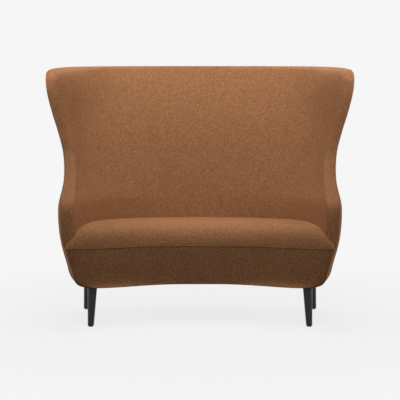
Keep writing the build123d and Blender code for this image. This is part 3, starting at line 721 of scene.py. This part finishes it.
def swollen(piece, settings, capAt):
    # inflates a closed piece as cloth, each point moved no further than its cap
    start = [vertex.co.copy() for vertex in piece.data.vertices]
    activate(piece)
    cloth = piece.modifiers.new("Swell", "CLOTH")
    cloth.settings.quality = settings["quality"]
    cloth.settings.use_pressure = True
    cloth.settings.uniform_pressure_force = settings["pressure"]
    cloth.settings.effector_weights.gravity = 0
    scene = bpy.context.scene
    for number in range(1, settings["frames"] + 1):
        scene.frame_set(number)
    bpy.ops.object.modifier_apply(modifier=cloth.name)
    scene.frame_set(1)
    for vertex, place in zip(piece.data.vertices, start):
        move = vertex.co - place
        limit = capAt(place)
        if move.length > limit:
            move *= limit / move.length
        vertex.co = place + move


seatCover = gridPiece("seatCover", seatColumns, len(frontInsets) + seat["rearRows"], seatPlace)
facedTo(seatCover, (0, 0, seamHeight + seat["rise"]), (0, 0, 1))
activate(seatCover)
bpy.ops.object.mode_set(mode="EDIT")
bpy.ops.mesh.select_all(action="SELECT")
bpy.ops.mesh.region_to_loop()
bpy.ops.mesh.extrude_edges_move()
bpy.ops.object.mode_set(mode="OBJECT")
for vertex in seatCover.data.vertices:
    if vertex.select:
        vertex.co.z = seamHeight - seat["depthBelow"]
        vertex.co.y += seat["wallInset"] if vertex.co.y < seat["wallFrom"] else 0
bpy.ops.object.mode_set(mode="EDIT")
bpy.ops.mesh.edge_face_add()
bpy.ops.mesh.quads_convert_to_tris()
bpy.ops.object.mode_set(mode="OBJECT")
outwardNormals(seatCover)
applied(seatCover, "REMESH", mode="VOXEL", voxel_size=seat["voxel"])
applied(seatCover, "SMOOTH", factor=0.5, iterations=seat["smoothing"])


def swellCap(place):
    # the pad swells where it is free, not at its seam
    high = (place.z - seamHeight - seat["capFrom"]) / seat["capOver"]
    return seat["cap"] * max(0, min(1, high))


swollen(seatCover, seat, swellCap)
smoothShaded(seatCover)
print("seat cover made")

# The legs
leg = {
    "topRadius": 0.024,
    "footRadius": 0.015,
    "footBevel": 0.003,
    "bevelSteps": 4,
    "bevelAngle": 60,
    "smoothAngle": 40,
    "sides": 48,
}


def ringMiddle(places):
    xs, ys = [place.x for place in places], [place.y for place in places]
    return Vector(((max(xs) + min(xs)) / 2, (max(ys) + min(ys)) / 2, 0))


def turnedLeg(name, node):
    # a tapered round leg between the node's top and foot, its edges rounded
    low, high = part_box(node)
    places = [vertex.co for vertex in nodes[node].data.vertices]
    topMiddle = ringMiddle([place for place in places if place.z > high[2] - 1e-4])
    footMiddle = ringMiddle([place for place in places if place.z < low[2] + 1e-4])
    deselectAll()
    bpy.ops.mesh.primitive_cone_add(
        vertices=leg["sides"], radius1=leg["footRadius"], radius2=leg["topRadius"],
        depth=high[2] - low[2],
    )
    piece = bpy.context.object
    piece.name = name
    for vertex in piece.data.vertices:
        middle = footMiddle if vertex.co.z < 0 else topMiddle
        vertex.co += middle + Vector((0, 0, (high[2] + low[2]) / 2))
    applied(
        piece, "BEVEL", width=leg["footBevel"], segments=leg["bevelSteps"],
        limit_method="ANGLE", angle_limit=math.radians(leg["bevelAngle"]),
    )
    outwardNormals(piece)
    activate(piece)
    bpy.ops.object.shade_smooth_by_angle(angle=math.radians(leg["smoothAngle"]))
    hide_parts(node)
    return piece


legs = [
    turnedLeg("legFrontRight", "leg_front_right"),
    turnedLeg("legFrontLeft", "leg_front_left"),
    turnedLeg("legRearRight", "leg_rear_right"),
    turnedLeg("legRearLeft", "leg_rear_left"),
]
print("legs made")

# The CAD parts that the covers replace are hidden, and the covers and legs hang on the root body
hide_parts("inside_cover", "inside_foam", "edge_facing", "edge_roll")
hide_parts("outside_cover", "outside_wadding")
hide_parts("edge_welt")
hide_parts("border_cover", "border_padding")
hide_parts("seat_welt")
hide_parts("seat_cover", "seat_pad_foam")
covers = [insideCover, outsideCover, edgePiping, borderCover, seatPiping, seatCover]
for piece in covers:
    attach(piece, "root")
for piece in legs:
    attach(piece, "root")
print("pieces placed")


class Value:
    # a socket with the usual operators, each of which adds a Math node
    def __init__(self, owner, socket):
        self.owner, self.socket = owner, socket

    def math(self, operation, first, second):
        return self.owner.node("ShaderNodeMath", {"operation": operation}, {0: first, 1: second})

    def __add__(self, other):
        return self.math("ADD", self, other)

    def __radd__(self, other):
        return self.math("ADD", other, self)

    def __sub__(self, other):
        return self.math("SUBTRACT", self, other)

    def __rsub__(self, other):
        return self.math("SUBTRACT", other, self)

    def __mul__(self, other):
        return self.math("MULTIPLY", self, other)

    def __rmul__(self, other):
        return self.math("MULTIPLY", other, self)

    def atLeast(self, other):
        return self.math("MAXIMUM", self, other)


class Shading:
    # the nodes of a material or of the world
    def __init__(self, owner):
        owner.use_nodes = True
        self.tree = owner.node_tree

    def node(self, kind, settings=None, inputs=None, output=0):
        node = self.tree.nodes.new(kind)
        for name, value in (settings or {}).items():
            if name == "stops":
                ramp = node.color_ramp
                while len(ramp.elements) < len(value):
                    ramp.elements.new(0.5)
                for element, (place, color) in zip(ramp.elements, value):
                    element.position, element.color = place, (*color, 1)
            else:
                setattr(node, name, value)
        for slot, value in (inputs or {}).items():
            self.put(node.inputs[slot], value)
        return Value(self, node.outputs[output])

    def put(self, socket, value):
        if isinstance(value, Value):
            self.tree.links.new(value.socket, socket)
        elif isinstance(value, tuple) and len(value) == 3 and len(socket.default_value) == 4:
            socket.default_value = (*value, 1)
        else:
            socket.default_value = value

    def seen(self):
        # 1 where the camera, a reflection or a transparent part looks, 0 for the light itself
        rays = ("Is Camera Ray", "Is Glossy Ray", "Is Transmission Ray")
        direct, glossy, through = (self.node("ShaderNodeLightPath", output=ray) for ray in rays)
        return direct.atLeast(glossy).atLeast(through)


class Finish(Shading):
    # a material under construction
    def __init__(self, name):
        self.material = bpy.data.materials.new(name)
        super().__init__(self.material)
        self.shader = self.tree.nodes["Principled BSDF"]

    def places(self):
        return self.node("ShaderNodeTexCoord", output="Object")

    def noise(self, scale, detail=2.0, roughness=0.5, stretch=(1, 1, 1)):
        where = self.node("ShaderNodeMapping", {}, {"Vector": self.places(), "Scale": stretch})
        return self.node("ShaderNodeTexNoise", {}, {
            "Vector": where, "Scale": scale, "Detail": detail, "Roughness": roughness,
        })

    def ramp(self, factor, stops):
        return self.node("ShaderNodeValToRGB", {"stops": stops}, {"Fac": factor})

    def blend(self, factor, first, second, mode="MIX"):
        settings = {"data_type": "RGBA", "blend_type": mode}
        return self.node("ShaderNodeMix", settings, {0: factor, 6: first, 7: second}, output=2)

    def bump(self, height, distance, strength=1.0, under=None):
        inputs = {"Height": height, "Distance": distance, "Strength": strength}
        if under is not None:
            inputs["Normal"] = under
        return self.node("ShaderNodeBump", {}, inputs)

    def shade(self, **sockets):
        for name, value in sockets.items():
            self.put(self.shader.inputs[name.replace("_", " ")], value)
        return self.material


def linear(red, green, blue):
    # a display colour, 0 to 255, as the shader's own
    shares = [c / 255 for c in (red, green, blue)]
    return tuple(s / 12.92 if s <= 0.04045 else ((s + 0.055) / 1.055) ** 2.4 for s in shares)


wool = {
    "dark": (110, 70, 48),
    "ground": (156, 107, 73),
    "light": (204, 152, 102),
    "darkAt": 0.36,
    "groundAt": 0.50,
    "lightAt": 0.64,
    "fibreScale": 520.0,
    "fibreShare": 0.55,
    "fibreBump": 0.0006,
    "clumpScale": 210.0,
    "clumpShare": 0.45,
    "clumpBump": 0.0010,
    "broadScale": 9.0,       # slow changes of tone over the cloth
    "roughness": 0.95,
    "specular": 0.15,
}


def woolFinish():
    finish = Finish("woolCloth")
    fibre = finish.noise(wool["fibreScale"], 3.0, 0.65)
    clump = finish.noise(wool["clumpScale"], 2.0, 0.6)
    broad = finish.noise(wool["broadScale"], 2.0, 0.5)
    speck = fibre * wool["fibreShare"] + clump * wool["clumpShare"]
    tones = ("dark", "ground", "light")
    color = finish.ramp(speck, [(wool[tone + "At"], linear(*wool[tone])) for tone in tones])
    tone = finish.ramp(broad, [(0.35, (0.975, 0.98, 0.965)), (0.65, (1.025, 1.02, 1.03))])
    color = finish.blend(1.0, color, tone, "MULTIPLY")
    lumps = finish.bump(clump, wool["clumpBump"], 0.35)
    normal = finish.bump(fibre, wool["fibreBump"], 0.5, lumps)
    finish.shade(Specular_IOR_Level=wool["specular"])
    return finish.shade(Base_Color=color, Roughness=wool["roughness"], Normal=normal)


lacquer = {
    "dark": (36, 36, 37),
    "light": (50, 49, 49),
    "roughness": 0.30,
    "roughnessSpread": 0.12,
    "specular": 0.3,
}


def legFinish():
    finish = Finish("blackLacquer")
    grain = finish.noise(60.0, 4.0, 0.6, (1, 1, 0.06))
    color = finish.ramp(grain, [(0.35, linear(*lacquer["dark"])), (0.7, linear(*lacquer["light"]))])
    rough = finish.noise(120.0, 2.0, 0.5) * lacquer["roughnessSpread"] + lacquer["roughness"]
    finish.shade(Specular_IOR_Level=lacquer["specular"])
    return finish.shade(Base_Color=color, Roughness=rough, Normal=finish.bump(grain, 0.0002, 0.25))


def woodFinish(name, light, dark, stretch):
    finish = Finish(name)
    grain = finish.noise(45.0, 5.0, 0.6, stretch)
    pores = finish.noise(400.0, 2.0, 0.5, stretch)
    color = finish.ramp(grain, [(0.35, linear(*dark)), (0.65, linear(*light))])
    normal = finish.bump(pores, 0.0002, 0.3)
    return finish.shade(Base_Color=color, Roughness=grain * 0.2 + 0.5, Normal=normal)


def clothFinish(name, light, dark, scale):
    finish = Finish(name)
    weave = finish.noise(scale, 2.0, 0.5)
    color = finish.ramp(weave, [(0.4, linear(*dark)), (0.6, linear(*light))])
    return finish.shade(Base_Color=color, Roughness=0.95, Normal=finish.bump(weave, 0.0003, 0.5))


def metalFinish():
    finish = Finish("zincSteel")
    scratch = finish.noise(300.0, 3.0, 0.6, (1, 1, 0.2))
    color = finish.ramp(scratch, [(0.3, linear(165, 166, 168)), (0.7, linear(205, 206, 208))])
    return finish.shade(Base_Color=color, Metallic=1.0, Roughness=scratch * 0.2 + 0.3)


def plasticFinish():
    finish = Finish("blackNylon")
    grain = finish.noise(900.0, 2.0, 0.5)
    color = finish.ramp(grain, [(0.3, linear(28, 28, 28)), (0.7, linear(38, 38, 38))])
    normal = finish.bump(grain, 0.0001, 0.3)
    return finish.shade(Base_Color=color, Roughness=grain * 0.1 + 0.45, Normal=normal)


finishes = {
    "wool_fabric": woolFinish(),
    "leg_wood": legFinish(),
    "foam": clothFinish("seatFoam", (228, 222, 200), (208, 200, 172), 500.0),
    "fibre_wadding": clothFinish("whiteWadding", (238, 238, 234), (222, 222, 216), 220.0),
    "fibreboard": woodFinish("hardboard", (150, 112, 76), (120, 86, 56), (1, 1, 1)),
    "beech_frame": woodFinish("beechWood", (214, 176, 134), (186, 144, 102), (0.1, 1, 1)),
    "plywood": woodFinish("birchPly", (220, 190, 148), (192, 160, 118), (0.12, 1, 1)),
    "webbing": clothFinish("blackWebbing", (60, 60, 62), (34, 34, 36), 600.0),
    "hessian": clothFinish("juteHessian", (186, 156, 112), (140, 112, 76), 700.0),
    "steel": metalFinish(),
    "glide_plastic": plasticFinish(),
    "dust_cloth": clothFinish("blackDustCloth", (44, 44, 46), (28, 28, 30), 800.0),
}
slotOf = {part["node"]: part["material_slot"] for part in frame["record"]["subparts"]}
for name, node in nodes.items():
    node.data.materials.clear()
    node.data.materials.append(finishes[slotOf[name]])
for piece in covers + legs:
    piece.data.materials.clear()
    piece.data.materials.append(finishes["wool_fabric" if piece in covers else "leg_wood"])
print("finishes made")

# Floor, light and camera
studio = {
    "backdrop": (246, 246, 246),
    "floorSize": 30.0,
    "floorFade": (0.9, 2.2),     # from the middle, where the floor starts and ends fading out
    "floorDiffuse": 0.12,
    "floorGlow": 0.80,
    "floorBounce": 0.03,         # how much light the floor throws back on the sofa
    "ambient": 0.012,
}

deselectAll()
bpy.ops.mesh.primitive_plane_add(size=studio["floorSize"])
floor = bpy.context.object
floor.name = "studioFloor"


def floorFinish():
    finish = Finish("paleFloor")
    length = {"operation": "LENGTH"}
    apart = finish.node("ShaderNodeVectorMath", length, {0: finish.places()}, output="Value")
    near, far = studio["floorFade"]
    reach = {"Value": apart, "From Min": near, "From Max": far}
    fade = finish.node("ShaderNodeMapRange", {}, reach)
    seen = finish.seen()
    glow = finish.blend(seen, (0, 0, 0), (1, 1, 1))
    color = finish.blend(seen, (studio["floorBounce"],) * 3, (studio["floorDiffuse"],) * 3)
    finish.shade(Emission_Strength=studio["floorGlow"], Specular_IOR_Level=0.0)
    finish.shade(Base_Color=color, Roughness=0.9, Emission_Color=glow)
    backdrop = finish.node("ShaderNodeEmission", {}, {"Color": linear(*studio["backdrop"])})
    lit = Value(finish, finish.shader.outputs[0])
    mixed = finish.node("ShaderNodeMixShader", {}, {0: fade * seen, 1: lit, 2: backdrop})
    finish.put(finish.tree.nodes["Material Output"].inputs["Surface"], mixed)
    return finish.material


floor.data.materials.append(floorFinish())

world = bpy.data.worlds.new("studioWorld")
bpy.context.scene.world = world
sky = Shading(world)
ambientNode = sky.tree.nodes["Background"]
sky.put(ambientNode.inputs["Color"], (1, 1, 1))
sky.put(ambientNode.inputs["Strength"], studio["ambient"])
shown = sky.node("ShaderNodeBackground", {}, {"Color": linear(*studio["backdrop"])})
ambient = Value(sky, ambientNode.outputs[0])
choice = sky.node("ShaderNodeMixShader", {}, {0: sky.seen(), 1: ambient, 2: shown})
sky.put(sky.tree.nodes["World Output"].inputs["Surface"], choice)


def softLamp(name, place, target, size, power, spread=180):
    deselectAll()
    bpy.ops.object.light_add(type="AREA", location=place)
    lamp = bpy.context.object
    lamp.name = name
    lamp.data.shape = "RECTANGLE"
    lamp.data.size, lamp.data.size_y = size
    lamp.data.energy = power
    lamp.data.spread = math.radians(spread)
    lamp.rotation_euler = (Vector(target) - Vector(place)).to_track_quat("-Z", "Y").to_euler()


# name: place, target, size, watts and, where narrowed, the spread in degrees
lamps = {
    "overheadLamp": ((0, -0.1, 2.0), (0, -0.1, 0.6), (1.2, 0.4), 2.8, 80),    # on the seat alone
    "upperLamp": ((0, -1.8, 2.6), (0, -0.1, 0.6), (1.5, 1.0), 20),
    "frontLamp": ((0, -4.0, 2.2), (0, -0.1, 0.6), (1.5, 1.0), 13),
    "backLamp": ((0, 1.2, 3.0), (0, -0.1, 0.6), (2.5, 1.0), 32),
    "rearLamp": ((0, 3.8, 1.9), (0, 0.2, 0.7), (2.0, 1.2), 26),
}
# the same for the right one of each pair of lamps
lampPairs = {
    "Lamp": ((2.8, 0.35, 0.9), (0, -0.1, 0.8), (1.2, 0.8), 22),
    "FrontLamp": ((2.4, -2.2, 1.5), (0, -0.1, 0.9), (1.0, 1.0), 4),
    "WingLamp": ((0.9, -3.6, 2.1), (0.85, -0.15, 1.9), (0.8, 0.4), 8, 34),    # on the wings' tops
}
for name, settings in lamps.items():
    softLamp(name, *settings)
for name, (place, target, *settings) in lampPairs.items():
    for side, across in (("left", -1), ("right", 1)):
        sidePlace, sideTarget = (across * place[0], *place[1:]), (across * target[0], *target[1:])
        softLamp(side + name, sidePlace, sideTarget, *settings)

camera = {
    "place": (0.000, -6.392, 1.01623),
    "pitch": 3.7501,
    "focalPixels": 1230.93,  # focal length in pixels of the photograph
    "imageWidth": 400,
    "sensorWidth": 36,
}
deselectAll()
tilt = math.radians(90 - camera["pitch"])
bpy.ops.object.camera_add(location=camera["place"], rotation=(tilt, 0, 0))
photoCamera = bpy.context.object
photoCamera.data.sensor_width = camera["sensorWidth"]
photoCamera.data.lens = camera["focalPixels"] / camera["imageWidth"] * camera["sensorWidth"]
bpy.context.scene.camera = photoCamera
bpy.context.scene.view_settings.view_transform = "Standard"
print("studio set")
